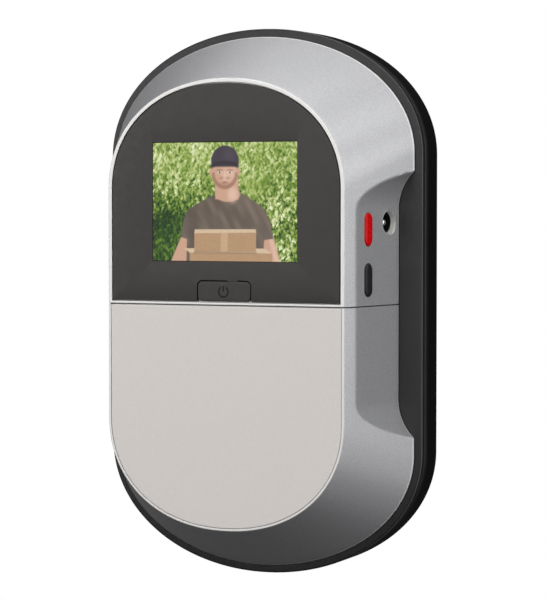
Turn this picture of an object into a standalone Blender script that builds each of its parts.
"""Battery-powered door viewer, the indoor unit that hangs on the inside of a front door.

Frame: +Z up, the viewer looks out of the picture plane towards -Y, the door is at y = 0. The origin is the
centre of the mounting base's flat back. "Depth" below is always measured back from the front face, so
y = depth - OVERALL_DEPTH. The unit slides up off four studs on the base, and its lower half is a battery
cover that slides down.
"""

import math

import bmesh
import bpy
from mathutils import Matrix, Vector

MM = 0.001

# Overall sizes, over the mounting base
WIDTH = 109.0 * MM
HEIGHT = 175.0 * MM

# Clearances
FIT = 0.3 * MM
REACH = 2.0 * MM            # how far a cutter runs past the wall that it cuts
CORNER = 0.6 * MM           # corner radius of a moulded or stamped part, and of a small one
SMALL_CORNER = 0.3 * MM
SLIVER = 0.01 * MM          # keeps two joined pieces' faces off one plane
PILL_CORNER = 0.999         # corner radius of a round-ended slot, over its half width

# Outlines: straight sides joined by rounded ends. Each end rises a given height past its straight sides,
# along a curve of a given power (2 is an ellipse). The silver shell stands inside the base's outline, and
# its sides and ends pull in towards the front.
SHELL_STEP_W = 2.2 * MM
SHELL_STEP_H = 2.5 * MM
FLARE_W = 12.0 * MM
FLARE_H = 14.6 * MM
FRONT_RISE = 34.7 * MM
SHELL_RISE = 37.6 * MM
BASE_RISE = 40.5 * MM
ARC_STEPS = 24


def outline_sizes(half_w, half_h, rise, power):
    return dict(half_w=half_w, straight=half_h - rise, rise=rise, power=power)


BASE = outline_sizes(WIDTH / 2.0, HEIGHT / 2.0, BASE_RISE, 2.0)
SHELL = outline_sizes(WIDTH / 2.0 - SHELL_STEP_W, HEIGHT / 2.0 - SHELL_STEP_H, SHELL_RISE, 2.0)
FRONT = outline_sizes(WIDTH / 2.0 - SHELL_STEP_W - FLARE_W, HEIGHT / 2.0 - SHELL_STEP_H - FLARE_H,
                      FRONT_RISE, 2.15)

# Depths, from the front face back
SHELL_DEPTH = 29.1 * MM
FLANGE_GAP = 0.4 * MM
HOUSING_T = 2.9 * MM
BASE_DEPTH = 10.6 * MM
FLANGE_FRONT = SHELL_DEPTH + FLANGE_GAP
HOUSING_BACK = FLANGE_FRONT + HOUSING_T
BASE_FRONT = HOUSING_BACK + FIT
OVERALL_DEPTH = BASE_FRONT + BASE_DEPTH

# Silver shells
WALL = 1.9 * MM
SEAM = 0.3 * MM             # gap between the upper shell and the battery cover, centred on z = 0
RIM = 1.2 * MM              # bright ring of the upper shell round the bezel
LEDGE_DEPTH = 1.9 * MM      # the ledge that carries the bezel
LEDGE = 1.3 * MM
SHELF = 1.2 * MM            # wall that closes the upper shell at the seam

# Finger grips: a drafted wall on each side, with a round corner at each end
GRIP_INSET = 5.3 * MM       # from the shell's side to the wall, at the shell's back edge
GRIP_HALF_W = SHELL["half_w"] - GRIP_INSET
GRIP_DRAFT = 0.193          # sideways travel of the wall per unit of depth
GRIP_STRAIGHT = 29.7 * MM
GRIP_CORNER = 16.5 * MM
GRIP_SWEEP = math.radians(85.0)
GRIP_STEPS = 8

# Bezel, display and power key
BEZEL_GAP = 0.25 * MM
BEZEL_T = 1.6 * MM
BEZEL_LOW = 1.16 * MM
DISPLAY_W = 48.96 * MM
DISPLAY_H = 36.72 * MM
DISPLAY_Z = 32.2 * MM
DISPLAY_MARGIN = 0.3 * MM
LENS_T = 1.1 * MM
LENS_SINK = 0.05 * MM
LENS_GAP = 0.25 * MM
LCD_BORDER = 3.2 * MM
LCD_T = 2.6 * MM
HOLDER_WALL = 2.0 * MM
HOLDER_T = 3.6 * MM
KEY_W = 18.6 * MM
KEY_H = 5.9 * MM
KEY_CORNER = 1.4 * MM
KEY_SLOT = 0.3 * MM
KEY_STRAP = 3.0 * MM        # the thin strap above the key, behind the bezel, that it bends at
KEY_STRAP_T = 0.7 * MM
KEY_STEM_R = 1.5 * MM
KEY_TRAVEL = 0.5 * MM
KEY_HINGE_Z = BEZEL_LOW + KEY_H + 2.0 * KEY_SLOT + KEY_STRAP / 2.0
KEY_HINGE_DEPTH = BEZEL_T + FIT + KEY_STRAP_T / 2.0
KEY_DROP = 0.3 * MM         # room under the key, whose lower edge dips a little as it turns

# Lower face plate, let into the battery cover
PLATE_RIM = 0.75 * MM
PLATE_T = 1.0 * MM
PLATE_GAP = 0.25 * MM
COVER_FRONT = 2.8 * MM
GUIDE_T = 1.4 * MM          # ribs inside the cover, which run along the battery tray
GUIDE_DEPTH = 18.0 * MM
GUIDE_ROOT = 0.5 * MM       # how far the ribs run into the cover's front wall

# Buttons and power socket on the right grip's wall
BUTTON_W = 4.1 * MM
BUTTON_H = 10.1 * MM
BUTTON_DEPTH = 11.6 * MM
BUTTON_CLEAR = 0.9 * MM     # from the shelf to the lower button's flange
BUTTON_SPACE = 5.5 * MM     # between the two buttons
BUTTON_PROUD = 0.8 * MM
BUTTON_SLOT = 0.25 * MM
BUTTON_FLANGE = 1.0 * MM
BUTTON_FLANGE_LAP = 0.8 * MM
BUTTON_STEM = 1.4 * MM
BUTTON_STEM_INSET = 1.4 * MM
BUTTON_EDGE = 1.1 * MM      # how far the dome pulls in from the button's sides
DOME_STEPS = 4
BLACK_Z = SEAM / 2.0 + SHELF + BUTTON_CLEAR + BUTTON_FLANGE_LAP + BUTTON_H / 2.0
RED_Z = BLACK_Z + BUTTON_H + BUTTON_SPACE
BUTTON_TRAVEL = 0.5 * MM
SOCKET_R = 3.9 * MM
SOCKET_EDGE = 1.8 * MM      # silver left between the socket and the shell's back edge
SOCKET_DEPTH = SHELL_DEPTH - SOCKET_EDGE - SOCKET_R
SOCKET_Z = RED_Z + 2.1 * MM
SLEEVE_T = 0.5 * MM
SLEEVE_L = 4.8 * MM
SLEEVE_SINK = 0.6 * MM      # the sleeve and the pin stand this far inside the wall
PIN_SINK = 1.7 * MM
PIN_TIP = 0.5 * MM
PIN_R = 0.95 * MM
SOCKET_BODY_L = 6.0 * MM
SOCKET_BODY_SIDE = 0.4 * MM
SOCKET_BODY_END = 1.4 * MM

# Switches: body side and height, plunger
SWITCH_SIDE = 5.0 * MM
SWITCH_T = 2.8 * MM
PLUNGER_R = 1.3 * MM
PLUNGER_T = 0.6 * MM
SWITCH_RAISE = 0.5 * MM     # the power key's switch stands this far above its plunger

# Boards
BOARD_T = 1.4 * MM
BOARD_DEPTH = 9.0 * MM
BOARD_HALF_W = 31.0 * MM
BOARD_LOW = 3.2 * MM
BOARD_CORNER = 3.0 * MM
BOARD_EDGE = 2.7 * MM       # from the upper screws to the board's edge
BOARD_SCREW_X = 27.0 * MM
SIDE_BOARD_W = 11.8 * MM
SHIELD = (18.0 * MM, 2.2 * MM, 14.0 * MM)
SHIELD_AT = (-17.0 * MM, 45.0 * MM)
CHIP = (12.0 * MM, 1.4 * MM, 12.0 * MM)
CHIP_AT = (14.0 * MM, 46.0 * MM)
CABLE_SOCKET = (12.0 * MM, 5.6 * MM, 6.4 * MM)
CABLE_SOCKET_WALL = 0.9 * MM
CABLE_SOCKET_DROP = 6.0 * MM    # below the display's centre

# Cells and their tray
CELL_R = 7.25 * MM
CELL_L = 49.2 * MM
CELL_NUB_R = 2.7 * MM
CELL_NUB = 1.3 * MM
CELL_EDGE = 0.5 * MM
CELL_GAP = 0.7 * MM
CELL_PITCH = 2.0 * CELL_R + CELL_GAP
CELL_COUNT = 4
TRAY_WALL = 1.5 * MM
TRAY_FLOOR = 1.6 * MM
TRAY_TOP_GAP = 2.6 * MM     # from the seam to the tray
TRAY_FRONT_LAP = 7.0 * MM   # the walls stop this far behind the cells' fronts
CONTACT_SIDE = 8.0 * MM
CONTACT_T = 0.5 * MM
SPRING_L = 3.2 * MM
SPRING_WIRE_R = 0.4 * MM
SPRING_R = (2.2 * MM, 4.2 * MM)
SPRING_TURNS = 2.5

# Rear housing, the black flange behind the silver shells
FLANGE_SLOPE = 0.95 * MM
FLANGE_EDGE = 0.2 * MM      # the flange stops this far inside the base's outline
FLANGE_FLAT = 0.8 * MM      # the slope starts this far inside the silver shell's outline
LIP_R = 0.7 * MM
CABLE_HALF_W = 11.0 * MM
CABLE_HALF_H = 10.0 * MM
CABLE_CORNER = 5.0 * MM

# Mounting base
BASE_SHOULDER = 2.2 * MM
BASE_RIM = 1.4 * MM
BASE_PLATE = 2.5 * MM
BASE_EDGE = 0.9 * MM
TIE_SLOT_X = 22.0 * MM      # slots for the two screws that pull the outdoor barrel to the base
TIE_SLOT_R = 2.3 * MM
TIE_SLOT_HALF = 3.5 * MM

# Studs on the base and their keyhole slots in the rear housing
UNIT_LIFT = 9.0 * MM
STUD_SHANK_R = 2.0 * MM
STUD_HEAD_R = 3.7 * MM
STUD_HEAD = 1.3 * MM
STUD_FOOT_R = 4.2 * MM
STUD_FOOT = 1.2 * MM
UPPER_STUD = (30.0 * MM, 50.0 * MM)
LOWER_STUD = (15.0 * MM, -66.0 * MM)

# Screws
SCREW_R = 1.0 * MM
SCREW_HEAD_R = 2.2 * MM
SCREW_HEAD = 1.3 * MM
SCREW_DRIVE_R = 0.95 * MM
BOARD_SCREW_L = 4.2 * MM
HOUSING_SCREW_L = 11.0 * MM
BOARD_PILOT = 3.0 * MM
HOUSING_PILOT = 12.0 * MM
BOSS_R = 2.9 * MM
BOSS_CLEAR = 0.4 * MM
BOARD_SCREW_RISE = DISPLAY_H / 2.0 + LCD_BORDER + FIT + BOSS_R + BOSS_CLEAR
BOARD_SCREW_Z = (DISPLAY_Z - BOARD_SCREW_RISE, DISPLAY_Z + BOARD_SCREW_RISE)
BOARD_HIGH = BOARD_SCREW_Z[1] + BOARD_EDGE
TOP_SCREW_X = 12.0 * MM
SIDE_SCREW_Z = SOCKET_Z + SOCKET_R + SOCKET_BODY_END + BOSS_R + 2.5 * MM
SIDE_SCREW_IN = 9.0 * MM    # from the grip's wall, at the shell's back edge
HOUSING_SCREWS = ((GRIP_HALF_W - SIDE_SCREW_IN, SIDE_SCREW_Z),
                  (TOP_SCREW_X, BOARD_HIGH + BOSS_R + BOSS_CLEAR * 2.0))
CATCH_HALF_W = 6.0 * MM
CATCH_T = 0.6 * MM
CATCH_H = 6.0 * MM
CATCH_TIP = 1.4 * MM        # the bent tip of the leaf

# Colours: base colour, roughness, metallic
FINISHES = {
    "silver_paint": ((0.52, 0.53, 0.55), 0.42, 0.75),
    "plate_paint": ((0.62, 0.60, 0.57), 0.50, 0.35),
    "bezel_plastic": ((0.055, 0.050, 0.047), 0.45, 0.0),
    "black_plastic": ((0.022, 0.022, 0.024), 0.50, 0.0),
    "lens": ((0.80, 0.82, 0.84), 0.05, 0.0),
    "display": ((0.16, 0.24, 0.10), 0.30, 0.0),
    "red_plastic": ((0.72, 0.03, 0.03), 0.30, 0.0),
    "nickel": ((0.66, 0.64, 0.60), 0.25, 1.0),
    "steel": ((0.55, 0.55, 0.56), 0.32, 1.0),
    "board": ((0.02, 0.16, 0.07), 0.45, 0.0),
    "cell_wrap": ((0.05, 0.06, 0.09), 0.35, 0.2),
}


# ---------------------------------------------------------------------------------------------- helpers

def clear_scene():
    """Remove what the scene starts with."""
    for thing in list(bpy.data.objects):
        bpy.data.objects.remove(thing, do_unlink=True)


def finish(name):
    """The material of a named finish, made once."""
    made = bpy.data.materials.get(name)
    if made:
        return made
    colour, roughness, metallic = FINISHES[name]
    made = bpy.data.materials.new(name)
    made.use_nodes = True
    shader = made.node_tree.nodes["Principled BSDF"]
    shader.inputs["Base Color"].default_value = (*colour, 1.0)
    shader.inputs["Roughness"].default_value = roughness
    shader.inputs["Metallic"].default_value = metallic
    return made


def solid(name, bm, look, location=(0.0, 0.0, 0.0), turn=0.0):
    """Turn a closed bmesh into a named object, turned about Z and placed. A None look makes a cutter."""
    bmesh.ops.recalc_face_normals(bm, faces=bm.faces)
    mesh = bpy.data.meshes.new(name)
    bm.to_mesh(mesh)
    bm.free()
    mesh.shade_smooth()
    mesh.set_sharp_from_angle(angle=math.radians(35.0))
    thing = bpy.data.objects.new(name, mesh)
    thing.location = location
    thing.rotation_euler = (0.0, 0.0, turn)
    bpy.context.scene.collection.objects.link(thing)
    if look is None:
        thing.hide_render = True
        thing.display_type = 'WIRE'
    else:
        mesh.materials.append(finish(look))
    return thing


def combine(thing, tool, operation='DIFFERENCE'):
    """Cut a tool out of an object, or join it on, with a live Boolean."""
    cut = thing.modifiers.new(tool.name, 'BOOLEAN')
    cut.operation = operation
    cut.solver = 'EXACT'
    cut.object = tool
    return thing


def y_at(depth):
    """World y of a depth behind the front face."""
    return depth - OVERALL_DEPTH


def lerp(a, b, t):
    return a + (b - a) * t


def outline(half_w, straight, rise, power, inset=0.0):
    """Closed outline as (x, z) pairs: two rounded ends joined by the straight sides."""
    ring = []
    for end in (1.0, -1.0):
        for step in range(ARC_STEPS + 1):
            angle = math.pi * step / ARC_STEPS
            across, along = math.cos(angle), math.sin(angle)
            x = (half_w - inset) * math.copysign(abs(across) ** (2.0 / power), across)
            z = straight + (rise - inset) * max(along, 0.0) ** (2.0 / power)
            ring.append((end * x, end * z))
    return ring


def shell_outline(depth, inset=0.0):
    """The flared shell's outline at a depth, between its front and its back edge."""
    t = depth / SHELL_DEPTH
    front = outline(**FRONT, inset=inset)
    back = outline(**SHELL, inset=inset)
    return [(lerp(f[0], b[0], t), lerp(f[1], b[1], t)) for f, b in zip(front, back)]


def front_region(inset, edge, sign):
    """The upper (sign 1) or lower (sign -1) part of the front face, inset, ending on a level line."""
    ring = outline(**FRONT, inset=inset)[:ARC_STEPS + 1]
    ring = [(ring[0][0], edge)] + ring + [(ring[-1][0], edge)]
    return [(x, sign * z) for x, z in ring]


def loft(rings):
    """Closed bmesh through rings of points, capped at both ends."""
    bm = bmesh.new()
    loops = [[bm.verts.new(point) for point in ring] for ring in rings]
    for low, high in zip(loops, loops[1:]):
        for i in range(len(low)):
            j = (i + 1) % len(low)
            bm.faces.new((low[i], low[j], high[j], high[i]))
    bm.faces.new(loops[0])
    bm.faces.new(loops[-1])
    return bm


def depth_loft(sections):
    """Loft through (outline, depth) pairs."""
    return loft([[(x, y_at(depth), z) for x, z in ring] for ring, depth in sections])


def prism(points, near, far):
    """An (x, z) outline carried straight back from one depth to another."""
    return depth_loft([(points, near), (points, far)])


def rounded_box(half_w, half_h, corner, centre=(0.0, 0.0), steps=4):
    """Rounded rectangle as (x, z) pairs."""
    points = []
    for quarter, (sx, sz) in enumerate(((1, 1), (-1, 1), (-1, -1), (1, -1))):
        for step in range(steps + 1):
            angle = math.pi / 2.0 * (quarter + step / steps)
            points.append((centre[0] + sx * (half_w - corner) + corner * math.cos(angle),
                           centre[1] + sz * (half_h - corner) + corner * math.sin(angle)))
    return points


def disc(radius, centre=(0.0, 0.0), steps=20):
    """Circle as (x, z) pairs."""
    return [(centre[0] + radius * math.cos(2.0 * math.pi * i / steps),
             centre[1] + radius * math.sin(2.0 * math.pi * i / steps)) for i in range(steps)]


def box(low, high):
    """Closed bmesh of a box between two corners."""
    rings = []
    for z in (low[2], high[2]):
        rings.append([(low[0], low[1], z), (high[0], low[1], z), (high[0], high[1], z), (low[0], high[1], z)])
    return loft(rings)


def turned(profile, steps=20):
    """Closed bmesh of (radius, height) pairs turned about Z, flat at both ends."""
    return loft([[(x, z, height) for x, z in disc(radius, steps=steps)] for radius, height in profile])


def turned_along_y(profile, steps=20):
    """The same, turned about Y, with depths for heights."""
    return depth_loft([(disc(radius, steps=steps), depth) for radius, depth in profile])


def grip_wall(depth):
    """Half width between the grips' walls at a depth."""
    return GRIP_HALF_W - GRIP_DRAFT * (SHELL_DEPTH - depth)


GRIP_TURN = -math.atan(GRIP_DRAFT)


def grip_tool(name, side, offset):
    """Cutter for one finger grip, grown inwards by an offset. It runs back along the drafted wall."""
    centre_x = GRIP_HALF_W + GRIP_CORNER
    radius = GRIP_CORNER + offset
    curve = []
    for step in range(GRIP_STEPS + 1):
        angle = GRIP_SWEEP * step / GRIP_STEPS
        curve.append((centre_x - radius * math.cos(angle), GRIP_STRAIGHT + radius * math.sin(angle)))
    far_x = centre_x + GRIP_CORNER
    top = curve + [(far_x, curve[-1][1])]
    points = [(x, -z) for x, z in reversed(top)] + top
    rings = []
    for depth in (-REACH, SHELL_DEPTH + REACH):
        shift = GRIP_DRAFT * (depth - SHELL_DEPTH)
        rings.append([(side * (x + shift), y_at(depth), z) for x, z in points])
    return solid(name, loft(rings), None)


def shell_half(name, look, sign, front_wall, closed_end):
    """One silver half shell: the flared body less its grips, its hollow and the other half."""
    flare = [(shell_outline(depth), depth) for depth in (0.0, SHELL_DEPTH)]
    body = solid(name, depth_loft(flare), look)
    hollow_back = SHELL_DEPTH + REACH
    hollow = solid(name + "_hollow", depth_loft([(shell_outline(front_wall, WALL), front_wall),
                                                 (shell_outline(hollow_back, WALL), hollow_back)]), None)
    for side, tag in ((1.0, "_right"), (-1.0, "_left")):
        combine(hollow, grip_tool(name + "_wall" + tag, side, WALL))
        combine(body, grip_tool(name + "_grip" + tag, side, 0.0))
    if closed_end:
        combine(hollow, half_space(name + "_shelf", sign, SEAM / 2.0 + SHELF))
    combine(body, hollow)
    combine(body, half_space(name + "_half", sign, SEAM / 2.0))
    return body


def half_space(name, sign, edge):
    """Cutter that takes away everything on the other side of a level line near the seam."""
    reach = 2.0 * (BASE["straight"] + BASE["rise"])
    low, high = sorted((sign * edge, -sign * reach))
    return solid(name, box((-reach, -reach, low), (reach, reach, high)), None)


def on_grip_wall(name, rings, look, depth, z):
    """A solid from rings of (out, along, up) points, standing on the right grip's wall at a depth."""
    place = (grip_wall(depth), y_at(depth), z)
    return solid(name, loft(rings), look, place, GRIP_TURN)


def wall_pill(grow, out):
    """Upright pill outline at a height out of the grip's wall, as (out, along, up) points."""
    half_w = BUTTON_W / 2.0 + grow
    half_h = BUTTON_H / 2.0 + grow
    return [(out, x, z) for x, z in rounded_box(half_w, half_h, half_w * PILL_CORNER, steps=4)]


# ------------------------------------------------------------------------------------- mounting base

def make_mounting_base():
    """Shallow black tray that is fixed to the door, open towards the unit."""
    rings = [
        (outline(**BASE, inset=BASE_EDGE), OVERALL_DEPTH),
        (outline(**BASE), OVERALL_DEPTH - BASE_EDGE),
    ]
    for step in range(5):
        angle = math.pi / 2.0 * step / 4
        rings.append((outline(**BASE, inset=BASE_SHOULDER * (1.0 - math.cos(angle))),
                      BASE_FRONT + BASE_SHOULDER * (1.0 - math.sin(angle))))
    base = solid("mounting_base", depth_loft(rings), "black_plastic")
    inner = outline(**BASE, inset=BASE_SHOULDER + BASE_RIM)
    combine(base, solid("base_hollow", prism(inner, BASE_FRONT - REACH, OVERALL_DEPTH - BASE_PLATE), None))
    through = (OVERALL_DEPTH - BASE_PLATE - REACH, OVERALL_DEPTH + REACH)
    cable = rounded_box(CABLE_HALF_W, CABLE_HALF_H, CABLE_CORNER, (0.0, DISPLAY_Z))
    combine(base, solid("base_cable_hole", prism(cable, *through), None))
    for side in (1.0, -1.0):
        slot = rounded_box(TIE_SLOT_R + TIE_SLOT_HALF, TIE_SLOT_R, TIE_SLOT_R * PILL_CORNER,
                           (side * TIE_SLOT_X, DISPLAY_Z))
        combine(base, solid("base_tie_slot", prism(slot, *through), None))


def stud_places():
    for x, z in (UPPER_STUD, LOWER_STUD):
        for side in (1.0, -1.0):
            yield side * x, z


def make_studs():
    """Four headed studs on the base, which the unit hangs on."""
    plate = OVERALL_DEPTH - BASE_PLATE - FIT
    head_back = FLANGE_FRONT - FIT
    for number, (x, z) in enumerate(stud_places(), 1):
        profile = [(STUD_FOOT_R, plate), (STUD_FOOT_R, plate - STUD_FOOT), (STUD_SHANK_R, plate - STUD_FOOT),
                   (STUD_SHANK_R, head_back), (STUD_HEAD_R, head_back),
                   (STUD_HEAD_R, head_back - STUD_HEAD * 0.6), (STUD_HEAD_R * 0.8, head_back - STUD_HEAD)]
        bm = turned_along_y(profile, steps=16)
        solid(f"hook_stud_{number}", bm, "steel", (x, 0.0, z))


# -------------------------------------------------------------------------------------- rear housing

def make_rear_housing():
    """Black back of the unit: a sloped flange with a rounded lip, and keyhole slots for the studs."""
    flat = FLANGE_FRONT
    lip = flat + FLANGE_SLOPE
    rings = [
        (outline(**BASE, inset=FLANGE_EDGE + LIP_R), HOUSING_BACK),
        (outline(**BASE, inset=FLANGE_EDGE), HOUSING_BACK - LIP_R),
    ]
    for step in range(3):
        angle = math.pi / 4.0 * step
        rings.append((outline(**BASE, inset=FLANGE_EDGE + LIP_R * (1.0 - math.cos(angle))),
                      lip + LIP_R * (1.0 - math.sin(angle))))
    rings.append((outline(**SHELL, inset=FLANGE_FLAT), flat))
    housing = solid("rear_housing", depth_loft(rings), "black_plastic")
    through = (flat - REACH, HOUSING_BACK + REACH)
    for number, (x, z) in enumerate(stud_places(), 1):
        narrow = STUD_SHANK_R + FIT
        wide = STUD_HEAD_R + 2.0 * FIT
        neck = rounded_box(narrow, UNIT_LIFT / 2.0 + narrow, narrow * PILL_CORNER,
                           (x, z - UNIT_LIFT / 2.0))
        combine(housing, solid(f"keyhole_neck_{number}", prism(neck, *through), None))
        mouth = disc(wide, (x, z - UNIT_LIFT), steps=16)
        combine(housing, solid(f"keyhole_mouth_{number}", prism(mouth, *through), None))
    cable = rounded_box(CABLE_HALF_W, CABLE_HALF_H, CABLE_CORNER, (0.0, DISPLAY_Z))
    combine(housing, solid("housing_cable_window", prism(cable, *through), None))
    for number, (x, z) in enumerate(housing_screw_places(), 1):
        profile = [(SCREW_R + FIT, flat - REACH), (SCREW_R + FIT, HOUSING_BACK - SCREW_HEAD - FIT),
                   (SCREW_HEAD_R + FIT, HOUSING_BACK - SCREW_HEAD - FIT), (SCREW_HEAD_R + FIT, through[1])]
        combine(housing, solid(f"housing_counterbore_{number}", turned_along_y(profile), None, (x, 0.0, z)))


def housing_screw_places():
    for x, z in HOUSING_SCREWS:
        for side in (1.0, -1.0):
            yield side * x, z


def board_screw_places():
    for z in BOARD_SCREW_Z:
        for side in (1.0, -1.0):
            yield side * BOARD_SCREW_X, z


# --------------------------------------------------------------------------------------- upper shell

def make_upper_shell():
    """Silver upper half: rim, bezel ledge, flared sides, grips, screw bosses and its side openings."""
    shell = shell_half("upper_shell", "silver_paint", 1.0, LEDGE_DEPTH + LEDGE, closed_end=True)
    ledge = front_region(RIM, BEZEL_LOW - BEZEL_GAP, 1.0)
    combine(shell, solid("bezel_recess", prism(ledge, -REACH, LEDGE_DEPTH), None))
    through = (LEDGE_DEPTH - REACH, LEDGE_DEPTH + LEDGE + REACH)
    lcd = rounded_box(DISPLAY_W / 2.0 + LCD_BORDER + FIT, DISPLAY_H / 2.0 + LCD_BORDER + FIT, CORNER,
                      (0.0, DISPLAY_Z))
    combine(shell, solid("display_opening", prism(lcd, *through), None))
    room_low = BEZEL_LOW + KEY_SLOT - KEY_DROP
    room_high = KEY_HINGE_Z + KEY_STRAP / 2.0 + FIT
    key_room = rounded_box(KEY_W / 2.0 + FIT, (room_high - room_low) / 2.0, CORNER,
                           (0.0, (room_high + room_low) / 2.0))
    combine(shell, solid("key_opening", prism(key_room, *through), None))
    for number, (x, z) in enumerate(board_screw_places(), 1):
        add_boss(shell, f"board_boss_{number}", x, z, BOARD_DEPTH - FIT, BOARD_PILOT)
    for number, (x, z) in enumerate(housing_screw_places(), 1):
        add_boss(shell, f"housing_boss_{number}", x, z, FLANGE_FRONT - FIT, HOUSING_PILOT)
    for tag, z in (("red", RED_Z), ("black", BLACK_Z)):
        tool = on_grip_wall(tag + "_button_hole", [wall_pill(BUTTON_SLOT, -WALL - REACH),
                                                   wall_pill(BUTTON_SLOT, REACH)], None, BUTTON_DEPTH, z)
        combine(shell, tool)
    bore = [[(out, x, z) for x, z in disc(SOCKET_R, steps=32)] for out in (-WALL - REACH, REACH)]
    combine(shell, on_grip_wall("socket_hole", bore, None, SOCKET_DEPTH, SOCKET_Z))


def add_boss(shell, name, x, z, end, hole):
    """Screw post from the ledge wall back to a depth, with a pilot hole of a given length."""
    root = LEDGE_DEPTH + LEDGE / 2.0
    combine(shell, solid(name, turned_along_y([(BOSS_R, root), (BOSS_R, end)]), None, (x, 0.0, z)), 'UNION')
    pilot = [(SCREW_R + FIT / 2.0, end - hole), (SCREW_R + FIT / 2.0, end + REACH)]
    combine(shell, solid(name + "_pilot", turned_along_y(pilot, steps=12), None, (x, 0.0, z)))


def screw(name, x, z, head_back, length):
    """Pan-head screw driven forwards: a cross recess is left to a round one."""
    front = head_back - SCREW_HEAD
    drive = SCREW_HEAD * 0.55
    profile = [(SCREW_R * 0.6, front - length), (SCREW_R, front - length + SCREW_R * 0.6), (SCREW_R, front),
               (SCREW_HEAD_R, front), (SCREW_HEAD_R, head_back - SCREW_HEAD * 0.3),
               (SCREW_HEAD_R * 0.75, head_back), (SCREW_DRIVE_R, head_back),
               (SCREW_DRIVE_R, head_back - drive)]
    solid(name, turned_along_y(profile, steps=14), "steel", (x, 0.0, z))


def make_screws():
    for number, (x, z) in enumerate(housing_screw_places(), 1):
        screw(f"housing_screw_{number}", x, z, HOUSING_BACK - FIT / 2.0, HOUSING_SCREW_L)
    for number, (x, z) in enumerate(board_screw_places(), 1):
        screw(f"board_screw_{number}", x, z, BOARD_DEPTH + BOARD_T + FIT + SCREW_HEAD, BOARD_SCREW_L)


# -------------------------------------------------------------------------- bezel, display, power key

def make_bezel():
    """Dark plate round the display, cut for the lens and the power key."""
    inset = RIM + BEZEL_GAP
    bezel = solid("bezel", prism(front_region(inset, BEZEL_LOW, 1.0), 0.0, BEZEL_T), "bezel_plastic")
    window = rounded_box(DISPLAY_W / 2.0 + DISPLAY_MARGIN, DISPLAY_H / 2.0 + DISPLAY_MARGIN, SMALL_CORNER,
                         (0.0, DISPLAY_Z), steps=2)
    combine(bezel, solid("bezel_window", prism(window, -REACH, BEZEL_T + REACH), None))
    slot_top = BEZEL_LOW + KEY_H + 2.0 * KEY_SLOT
    low = BEZEL_LOW - REACH
    slot = rounded_box(KEY_W / 2.0 + KEY_SLOT, (slot_top - low) / 2.0, KEY_CORNER + KEY_SLOT,
                       (0.0, (slot_top + low) / 2.0))
    combine(bezel, solid("bezel_key_slot", prism(slot, -REACH, BEZEL_T + REACH), None))


def make_display():
    """Clear lens, display panel and the frame that holds the panel off the board."""
    margin = DISPLAY_MARGIN - LENS_GAP
    lens = rounded_box(DISPLAY_W / 2.0 + margin, DISPLAY_H / 2.0 + margin, SMALL_CORNER,
                       (0.0, DISPLAY_Z), steps=2)
    solid("display_window", prism(lens, LENS_SINK, LENS_T), "lens")
    half_w = DISPLAY_W / 2.0 + LCD_BORDER
    half_h = DISPLAY_H / 2.0 + LCD_BORDER
    near = BEZEL_T + FIT
    panel = rounded_box(half_w, half_h, CORNER, (0.0, DISPLAY_Z), steps=3)
    solid("display_panel", prism(panel, near, near + LCD_T), "display")
    near += LCD_T + FIT
    frame = solid("display_frame", prism(panel, near, near + HOLDER_T), "black_plastic")
    inside = rounded_box(half_w - HOLDER_WALL, half_h - HOLDER_WALL, CORNER, (0.0, DISPLAY_Z), steps=3)
    combine(frame, solid("display_frame_inside", prism(inside, near - REACH, near + HOLDER_T + REACH), None))


def key_plunger_depth():
    """Depth of the tip of the switch behind the power key."""
    return BOARD_DEPTH - FIT - SWITCH_T - PLUNGER_T


def make_power_key():
    """Power key with its strap and stem. It bends at the strap, so its origin is on that line."""
    hinge = Vector((0.0, y_at(KEY_HINGE_DEPTH), KEY_HINGE_Z))
    low = BEZEL_LOW + KEY_SLOT
    face = rounded_box(KEY_W / 2.0, KEY_H / 2.0, KEY_CORNER, (0.0, low + KEY_H / 2.0))
    pad_back = BEZEL_T + FIT + KEY_STRAP_T
    key = solid("power_key", shifted(prism(face, 0.0, pad_back), -hinge), "bezel_plastic", hinge)
    top = KEY_HINGE_Z + KEY_STRAP / 2.0 - FIT
    bottom = low + KEY_H / 2.0
    strap = box((-KEY_W / 2.0 + KEY_CORNER, y_at(BEZEL_T + FIT), bottom),
                (KEY_W / 2.0 - KEY_CORNER, y_at(pad_back + SLIVER), top))
    combine(key, solid("key_strap", shifted(strap, -hinge), None, hinge), 'UNION')
    stem = prism(disc(KEY_STEM_R, (0.0, low + KEY_H / 2.0), steps=16), BEZEL_T,
                 key_plunger_depth() - KEY_TRAVEL)
    combine(key, solid("key_stem", shifted(stem, -hinge), None, hinge), 'UNION')


def shifted(bm, step):
    """The same bmesh, moved."""
    bmesh.ops.translate(bm, verts=bm.verts, vec=step)
    return bm


# ------------------------------------------------------------------------------- boards and switches

def make_boards():
    """Main board with its screws' holes, and the narrow board behind the side buttons."""
    middle = (BOARD_LOW + BOARD_HIGH) / 2.0
    plate = rounded_box(BOARD_HALF_W, (BOARD_HIGH - BOARD_LOW) / 2.0, BOARD_CORNER, (0.0, middle))
    board = solid("main_board", prism(plate, BOARD_DEPTH, BOARD_DEPTH + BOARD_T), "board")
    for number, (x, z) in enumerate(board_screw_places(), 1):
        hole = disc(SCREW_R + FIT, (x, z), steps=16)
        combine(board, solid(f"board_hole_{number}", prism(hole, BOARD_DEPTH - REACH,
                                                           BOARD_DEPTH + BOARD_T + REACH), None))
    out = side_switch_back() - FIT
    half = SIDE_BOARD_W / 2.0
    high = RED_Z + BUTTON_H / 2.0
    low = BLACK_Z - BUTTON_H / 2.0
    rings = [[(o, -half, low), (o, half, low), (o, half, high), (o, -half, high)]
             for o in (out - BOARD_T, out)]
    on_grip_wall("side_board", rings, "board", BUTTON_DEPTH, 0.0)


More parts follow.
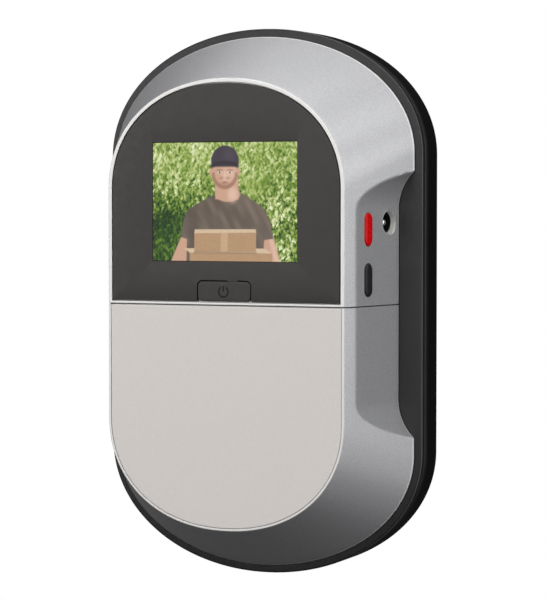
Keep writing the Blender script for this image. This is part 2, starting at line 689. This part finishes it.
def side_switch_back():
    """How far in from the grip's wall the side switches end, as a height out of the wall."""
    return side_stem_end() - BUTTON_TRAVEL - FIT / 2.0 - PLUNGER_T - SWITCH_T


def side_stem_end():
    """How far in the side buttons' stems reach, at rest."""
    return -WALL - FIT / 2.0 - BUTTON_FLANGE - BUTTON_STEM


def make_components():
    """Parts on the back of the main board: radio shield, processor and the camera cable's socket."""
    back = BOARD_DEPTH + BOARD_T + FIT
    for name, size, place, look in (("radio_shield", SHIELD, SHIELD_AT, "nickel"),
                                    ("processor", CHIP, CHIP_AT, "black_plastic")):
        face = rounded_box(size[0] / 2.0, size[2] / 2.0, CORNER, place, steps=3)
        solid(name, prism(face, back, back + size[1]), look)
    width, tall, high = CABLE_SOCKET
    centre = (0.0, DISPLAY_Z - CABLE_SOCKET_DROP)
    shroud = rounded_box(width / 2.0, high / 2.0, CORNER, centre, steps=2)
    socket = solid("camera_socket", prism(shroud, back, back + tall), "lens")
    pocket = rounded_box(width / 2.0 - CABLE_SOCKET_WALL, high / 2.0 - CABLE_SOCKET_WALL, SMALL_CORNER,
                         centre, steps=2)
    combine(socket, solid("camera_socket_pocket", prism(pocket, back + CABLE_SOCKET_WALL * 2.0,
                                                        back + tall + REACH), None))


def make_switches():
    """Tactile switches: one on the board behind the power key, two behind the side buttons."""
    z = BEZEL_LOW + KEY_SLOT + KEY_H / 2.0
    back = BOARD_DEPTH - FIT
    face = rounded_box(SWITCH_SIDE / 2.0, SWITCH_SIDE / 2.0, SMALL_CORNER, (0.0, z + SWITCH_RAISE), steps=2)
    switch = solid("key_switch", prism(face, back - SWITCH_T, back), "black_plastic")
    plunger = prism(disc(PLUNGER_R, (0.0, z), steps=16), key_plunger_depth(), back - SWITCH_T / 2.0)
    combine(switch, solid("key_switch_plunger", plunger, None), 'UNION')
    back = side_switch_back()
    for name, z in (("red", RED_Z), ("black", BLACK_Z)):
        square = rounded_box(SWITCH_SIDE / 2.0, SWITCH_SIDE / 2.0, SMALL_CORNER, steps=2)
        rings = [[(o, a, b) for a, b in square] for o in (back, back + SWITCH_T)]
        switch = on_grip_wall(name + "_button_switch", rings, "black_plastic", BUTTON_DEPTH, z)
        round_ = disc(PLUNGER_R, steps=16)
        rings = [[(o, a, b) for a, b in round_] for o in (back + SWITCH_T / 2.0, back + SWITCH_T + PLUNGER_T)]
        plunger = on_grip_wall(name + "_button_plunger", rings, None, BUTTON_DEPTH, z)
        combine(switch, plunger, 'UNION')


def make_side_buttons():
    """Two pill-shaped buttons: domed cap, flange behind the wall and stem."""
    flange_front = -WALL - FIT / 2.0
    flange_back = flange_front - BUTTON_FLANGE
    for name, z, look in (("red_button", RED_Z, "red_plastic"), ("black_button", BLACK_Z, "black_plastic")):
        rings = [wall_pill(-BUTTON_STEM_INSET, side_stem_end()), wall_pill(-BUTTON_STEM_INSET, flange_back),
                 wall_pill(BUTTON_FLANGE_LAP, flange_back), wall_pill(BUTTON_FLANGE_LAP, flange_front),
                 wall_pill(0.0, flange_front)]
        for step in range(DOME_STEPS):
            angle = math.pi / 2.0 * step / DOME_STEPS
            shrink = BUTTON_EDGE * (1.0 - math.cos(angle))
            rings.append(wall_pill(-shrink, BUTTON_PROUD * math.sin(angle)))
        on_grip_wall(name, rings, look, BUTTON_DEPTH, z)


def make_power_socket():
    """Round power inlet: plastic body, plated sleeve and centre pin."""
    front = -WALL - FIT
    square = rounded_box(SOCKET_R + SOCKET_BODY_SIDE, SOCKET_R + SOCKET_BODY_END, CORNER, steps=2)
    rings = [[(o, a, b) for a, b in square] for o in (front - SOCKET_BODY_L, front)]
    body = on_grip_wall("power_socket_body", rings, "black_plastic", SOCKET_DEPTH, SOCKET_Z)
    bore_end = front - SLEEVE_L
    bore = [[(o, a, b) for a, b in disc(SOCKET_R, steps=28)] for o in (bore_end, REACH)]
    combine(body, on_grip_wall("power_socket_bore", bore, None, SOCKET_DEPTH, SOCKET_Z))
    sleeve_r = SOCKET_R - FIT
    ends = (bore_end + FIT, -SLEEVE_SINK)
    rings = [[(o, a, b) for a, b in disc(sleeve_r, steps=28)] for o in ends]
    sleeve = on_grip_wall("power_socket_sleeve", rings, "nickel", SOCKET_DEPTH, SOCKET_Z)
    inner = [[(o, a, b) for a, b in disc(sleeve_r - SLEEVE_T, steps=28)] for o in (bore_end - REACH, REACH)]
    combine(sleeve, on_grip_wall("power_socket_sleeve_bore", inner, None, SOCKET_DEPTH, SOCKET_Z))
    profile = [(PIN_R, bore_end + FIT), (PIN_R, -PIN_SINK - PIN_TIP), (PIN_R * 0.5, -PIN_SINK)]
    rings = [[(o, a, b) for a, b in disc(r, steps=14)] for r, o in profile]
    on_grip_wall("power_socket_pin", rings, "nickel", SOCKET_DEPTH, SOCKET_Z)


# ----------------------------------------------------------------------------------- battery tray

CELL_CENTRE_DEPTH = FLANGE_FRONT - FIT - TRAY_FLOOR - FIT - CELL_R
TRAY_HALF_W = CELL_PITCH * CELL_COUNT / 2.0 + TRAY_WALL
TRAY_TOP = -TRAY_TOP_GAP
TRAY_INSIDE = CONTACT_T + CELL_L + CELL_NUB + SPRING_L + 4.0 * FIT
TRAY_BOTTOM = TRAY_TOP - TRAY_INSIDE - 2.0 * TRAY_WALL


def make_battery_tray():
    """Black tray in the lower half, open to the front, with low dividers between the cells."""
    back = FLANGE_FRONT - FIT
    floor = back - TRAY_FLOOR
    front = floor - 2.0 * CELL_R + TRAY_FRONT_LAP - FIT
    tray = solid("battery_tray", box((-TRAY_HALF_W, y_at(front), TRAY_BOTTOM),
                                     (TRAY_HALF_W, y_at(back), TRAY_TOP)), "black_plastic")
    inner_w = TRAY_HALF_W - TRAY_WALL
    inside = box((-inner_w, y_at(front - REACH), TRAY_BOTTOM + TRAY_WALL),
                 (inner_w, y_at(floor), TRAY_TOP - TRAY_WALL))
    combine(tray, solid("tray_inside", inside, None))


def cell_places():
    """(number, x, end): the cells' positive ends point up and down by turns."""
    for number in range(CELL_COUNT):
        yield number + 1, (number - (CELL_COUNT - 1) / 2.0) * CELL_PITCH, 1.0 if number % 2 == 0 else -1.0


def make_cells():
    """Four AA cells with a contact plate at each positive end and a spring at each negative end."""
    y = y_at(CELL_CENTRE_DEPTH)
    middle = (TRAY_TOP + TRAY_BOTTOM) / 2.0
    for number, x, end in cell_places():
        contact_z = end * (TRAY_INSIDE / 2.0 - FIT)
        tip = contact_z - end * (CONTACT_T + FIT)
        profile = [(CELL_R - CELL_EDGE, -CELL_L - CELL_NUB), (CELL_R, -CELL_L - CELL_NUB + CELL_EDGE),
                   (CELL_R, -CELL_NUB - CELL_EDGE), (CELL_R - CELL_EDGE, -CELL_NUB),
                   (CELL_NUB_R, -CELL_NUB), (CELL_NUB_R, 0.0)]
        rings = turned([(r, end * h) for r, h in profile], steps=20)
        solid(f"cell_{number}", rings, "cell_wrap", (x, y, middle + tip))
        half = CONTACT_SIDE / 2.0
        low, high = sorted((contact_z, contact_z - end * CONTACT_T))
        plate = box((-half, -half, low), (half, half, high))
        solid(f"cell_contact_{number}", plate, "nickel", (x, y, middle))
        spring_root = -end * (TRAY_INSIDE / 2.0 - FIT)
        solid(f"cell_spring_{number}", coil(end * (SPRING_L - 2.0 * SPRING_WIRE_R)), "nickel",
              (x, y, middle + spring_root + end * SPRING_WIRE_R))


def coil(height):
    """Conical spring from its wide end at z = 0 to its narrow end at a height."""
    steps = 24
    rings = []
    for step in range(steps + 1):
        t = step / steps
        radius = lerp(SPRING_R[1], SPRING_R[0], t)
        angle = 2.0 * math.pi * SPRING_TURNS * t
        rise = height * min(max((t - 0.12) / 0.76, 0.0), 1.0)
        place = Matrix.Translation((0.0, 0.0, rise)) @ Matrix.Rotation(angle, 4, 'Z')
        rings.append([place @ Vector((radius + SPRING_WIRE_R * math.cos(a), 0.0, SPRING_WIRE_R * math.sin(a)))
                      for a in (math.pi / 3.0 * i for i in range(6))])
    return loft(rings)


def make_cover_catch():
    """Spring leaf under the tray, which the battery cover snaps over."""
    back = FLANGE_FRONT - FIT
    top = TRAY_BOTTOM - FIT
    foot = CATCH_H / 2.0
    outline_yz = [(back, top), (back, top - foot), (back - CATCH_T, top - foot),
                  (back - CATCH_T, top - CATCH_T),
                  (back - CATCH_H, top - CATCH_T),
                  (back - CATCH_H - CATCH_TIP * 0.7, top - CATCH_TIP),
                  (back - CATCH_H - CATCH_TIP, top - CATCH_TIP * 0.85), (back - CATCH_H, top)]
    rings = [[(x, y_at(d), z) for d, z in outline_yz] for x in (-CATCH_HALF_W, CATCH_HALF_W)]
    solid("cover_catch", loft(rings), "steel")


# ------------------------------------------------------------------------------------ battery cover

def make_battery_cover():
    """Silver lower half, which slides down off the tray, with its guide ribs and the plate's recess."""
    cover = shell_half("battery_cover", "silver_paint", -1.0, COVER_FRONT, closed_end=False)
    recess = front_region(PLATE_RIM, SEAM / 2.0 - REACH, -1.0)
    combine(cover, solid("plate_recess", prism(recess, -REACH, PLATE_T + FIT), None))
    for side, tag in ((1.0, "right"), (-1.0, "left")):
        near = side * (TRAY_HALF_W + FIT * 2.0)
        low, high = sorted((near, near + side * GUIDE_T))
        rib = box((low, y_at(COVER_FRONT - GUIDE_ROOT), TRAY_BOTTOM + TRAY_WALL * 4.0),
                  (high, y_at(GUIDE_DEPTH), TRAY_TOP - TRAY_WALL * 2.0))
        combine(cover, solid("guide_rib_" + tag, rib, None), 'UNION')


def make_lower_face_plate():
    """Plain metal-look plate over the whole lower front."""
    region = front_region(PLATE_RIM + PLATE_GAP, SEAM / 2.0 + FIT / 3.0, -1.0)
    solid("lower_face_plate", prism(region, 0.0, PLATE_T), "plate_paint")


def main():
    clear_scene()
    make_mounting_base()
    make_studs()
    make_rear_housing()
    make_upper_shell()
    make_screws()
    make_bezel()
    make_display()
    make_power_key()
    make_boards()
    make_components()
    make_switches()
    make_side_buttons()
    make_power_socket()
    make_battery_tray()
    make_cells()
    make_cover_catch()
    make_battery_cover()
    make_lower_face_plate()


main()
